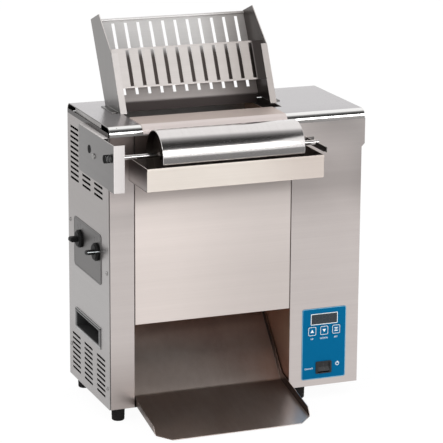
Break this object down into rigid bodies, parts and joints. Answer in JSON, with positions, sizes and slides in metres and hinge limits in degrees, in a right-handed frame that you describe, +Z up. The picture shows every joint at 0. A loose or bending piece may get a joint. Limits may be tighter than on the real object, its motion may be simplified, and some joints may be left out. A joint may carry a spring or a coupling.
{
  "type": "vertical bun toaster",
  "caption": "Stainless vertical bun toaster with a slotted two-lane feeder, spreading roller over a trough, belt conveyors, heated platen and pull-out chute.",
  "frame": {"origin": "centre of the overall box in plan, at the counter under the feet", "axes": "+X to the right seen from the front, +Y to the back, +Z up"},
  "size_m": [0.517, 0.393, 0.703],
  "materials": {
    "stainless_panel": "brushed stainless sheet",
    "stainless_lid": "brushed stainless sheet",
    "stainless_cover": "fine brushed stainless sheet",
    "feeder_steel": "brushed stainless sheet",
    "trough_steel": "satin stainless sheet",
    "roller_steel": "turned and polished stainless",
    "shaft_steel": "ground steel",
    "chute_steel": "brushed stainless sheet, warm tint",
    "foot_rubber": "black moulded rubber",
    "black_plastic": "black moulded plastic",
    "dial_steel": "grey anodised plate",
    "overlay_blue": "blue printed film",
    "key_blue": "blue embossed film",
    "display_dark": "dark tinted window",
    "platen_metal": "cast aluminium",
    "heater_metal": "dark sheathed heater",
    "release_film": "coated glass cloth",
    "belt_rubber": "dark silicone belt",
    "conveyor_steel": "plain steel plate",
    "drive_roller_metal": "knurled steel",
    "bronze": "sintered bronze",
    "gear_metal": "machined steel",
    "motor_paint": "dark grey enamel",
    "board_green": "green circuit board",
    "screw_steel": "bright steel"
  },
  "bodies": {
    "toaster_body": {"base_pan": "stainless_panel", "feet": "foot_rubber", "left_side_panel": "stainless_panel", "left_front_column": "stainless_panel", "left_inner_wall": "stainless_panel", "right_inner_wall": "stainless_panel", "right_side_panel": "stainless_panel", "control_front_panel": "stainless_panel", "rear_panel": "stainless_panel", "top_lid": "stainless_lid", "throat_strip": "stainless_lid", "front_cover": "stainless_cover", "spreader_pan": "trough_steel", "left_roller_bracket": "stainless_panel", "roller_bearing_block": "black_plastic", "right_roller_fork": "stainless_panel", "platen": "platen_metal", "heater_rods": "heater_metal", "release_sheet": "release_film", "shaft_bushes": "bronze", "gear_motor": "motor_paint", "dial_plate": "dial_steel", "control_overlay": "overlay_blue", "display_lens": "display_dark", "rocker_housing": "black_plastic", "control_board": "board_green", "power_relay": "black_plastic", "cooling_fan_frame": "black_plastic", "cord_gland": "black_plastic", "hand_pockets": "black_plastic", "fasteners": "screw_steel"},
    "feeder": {"feeder_left_side": "feeder_steel", "feeder_right_side": "feeder_steel", "feeder_rear_rack": "feeder_steel", "feeder_divider": "feeder_steel"},
    "spreading_roller": {"roller_drum": "roller_steel", "roller_shaft": "shaft_steel"},
    "chute": {"discharge_chute": "chute_steel"},
    "front_conveyor": {"front_conveyor_frame": "conveyor_steel", "front_belt": "belt_rubber"},
    "rear_conveyor": {"rear_conveyor_frame": "conveyor_steel", "rear_belt": "belt_rubber"},
    "front_drive": {"front_drive_roller": "drive_roller_metal", "front_drive_gear": "gear_metal"},
    "rear_drive": {"rear_drive_roller": "drive_roller_metal", "rear_drive_gear": "gear_metal"},
    "front_idler": {"front_idler_roller": "drive_roller_metal"},
    "rear_idler": {"rear_idler_roller": "drive_roller_metal"},
    "front_idler_wheel": {"front_idler_gear": "gear_metal"},
    "rear_idler_wheel": {"rear_idler_gear": "gear_metal"},
    "motor_output": {"motor_pinion": "gear_metal"},
    "front_setting": {"front_knob": "black_plastic", "front_cam_shaft": "shaft_steel"},
    "rear_setting": {"rear_knob": "black_plastic", "rear_cam_shaft": "shaft_steel"},
    "up_button": {"up_key": "key_blue"},
    "down_button": {"down_key": "key_blue"},
    "select_button": {"select_key": "key_blue"},
    "rocker": {"power_rocker": "black_plastic"},
    "fan": {"fan_impeller": "black_plastic"}
  },
  "joints": [
    {"name": "feeder_lift", "type": "slide", "parent": "toaster_body", "child": "feeder", "axis": [0, 0, 1], "range_m": [0, 0.15]},
    {"name": "chute_slide", "type": "slide", "parent": "toaster_body", "child": "chute", "axis": [0, -1, 0], "range_m": [0, 0.27]},
    {"name": "roller_spin", "type": "hinge", "parent": "toaster_body", "child": "spreading_roller", "pos_m": [-0.0325, -0.1175, 0.4988], "axis": [1, 0, 0], "continuous": true},
    {"name": "front_knob_turn", "type": "hinge", "parent": "toaster_body", "child": "front_setting", "pos_m": [-0.2325, -0.0095, 0.304], "axis": [1, 0, 0], "range_deg": [-120, 120]},
    {"name": "front_conveyor_tilt", "type": "hinge", "parent": "toaster_body", "child": "front_conveyor", "pos_m": [-0.0325, -0.026, 0.207], "axis": [1, 0, 0], "range_deg": [-1.2, 1.2]},
    {"name": "rear_knob_turn", "type": "hinge", "parent": "toaster_body", "child": "rear_setting", "pos_m": [-0.2325, 0.0865, 0.304], "axis": [1, 0, 0], "range_deg": [-120, 120]},
    {"name": "rear_conveyor_tilt", "type": "hinge", "parent": "toaster_body", "child": "rear_conveyor", "pos_m": [-0.0325, 0.106, 0.207], "axis": [1, 0, 0], "range_deg": [-1.2, 1.2]},
    {"name": "front_drive_spin", "type": "hinge", "parent": "toaster_body", "child": "front_drive", "pos_m": [-0.0325, -0.026, 0.207], "axis": [1, 0, 0], "continuous": true},
    {"name": "rear_drive_spin", "type": "hinge", "parent": "toaster_body", "child": "rear_drive", "pos_m": [-0.0325, 0.106, 0.207], "axis": [1, 0, 0], "continuous": true},
    {"name": "front_idler_spin", "type": "hinge", "parent": "front_conveyor", "child": "front_idler", "pos_m": [-0.0325, -0.026, 0.492], "axis": [1, 0, 0], "continuous": true},
    {"name": "rear_idler_spin", "type": "hinge", "parent": "rear_conveyor", "child": "rear_idler", "pos_m": [-0.0325, 0.106, 0.492], "axis": [1, 0, 0], "continuous": true},
    {"name": "front_idler_gear_spin", "type": "hinge", "parent": "toaster_body", "child": "front_idler_wheel", "pos_m": [0.1275, 0.018, 0.207], "axis": [1, 0, 0], "continuous": true},
    {"name": "rear_idler_gear_spin", "type": "hinge", "parent": "toaster_body", "child": "rear_idler_wheel", "pos_m": [0.1275, 0.062, 0.207], "axis": [1, 0, 0], "continuous": true},
    {"name": "motor_spin", "type": "hinge", "parent": "toaster_body", "child": "motor_output", "pos_m": [0.1275, 0.062, 0.251], "axis": [1, 0, 0], "continuous": true},
    {"name": "fan_spin", "type": "hinge", "parent": "toaster_body", "child": "fan", "pos_m": [0.1842, 0.1445, 0.1], "axis": [0, 1, 0], "continuous": true},
    {"name": "power_rocker_tilt", "type": "hinge", "parent": "toaster_body", "child": "rocker", "pos_m": [0.1842, -0.0672, 0.0595], "axis": [1, 0, 0], "range_deg": [0, 18]},
    {"name": "up_key_press", "type": "slide", "parent": "toaster_body", "child": "up_button", "axis": [0, 1, 0], "range_m": [0, 0.0006], "stiffness_N_per_m": 400, "springref_m": -0.0006},
    {"name": "down_key_press", "type": "slide", "parent": "toaster_body", "child": "down_button", "axis": [0, 1, 0], "range_m": [0, 0.0006], "stiffness_N_per_m": 400, "springref_m": -0.0006},
    {"name": "select_key_press", "type": "slide", "parent": "toaster_body", "child": "select_button", "axis": [0, 1, 0], "range_m": [0, 0.0006], "stiffness_N_per_m": 400, "springref_m": -0.0006}
  ],
  "couplings": [
    {"joint": "front_knob_turn", "follows": "front_conveyor_tilt", "ratio": 100},
    {"joint": "rear_knob_turn", "follows": "rear_conveyor_tilt", "ratio": -100},
    {"joint": "rear_drive_spin", "follows": "front_drive_spin", "ratio": -1},
    {"joint": "front_idler_spin", "follows": "front_drive_spin", "ratio": 1},
    {"joint": "rear_idler_spin", "follows": "front_drive_spin", "ratio": -1},
    {"joint": "front_idler_gear_spin", "follows": "front_drive_spin", "ratio": -1},
    {"joint": "rear_idler_gear_spin", "follows": "front_drive_spin", "ratio": 1},
    {"joint": "motor_spin", "follows": "front_drive_spin", "ratio": -1}
  ]
}
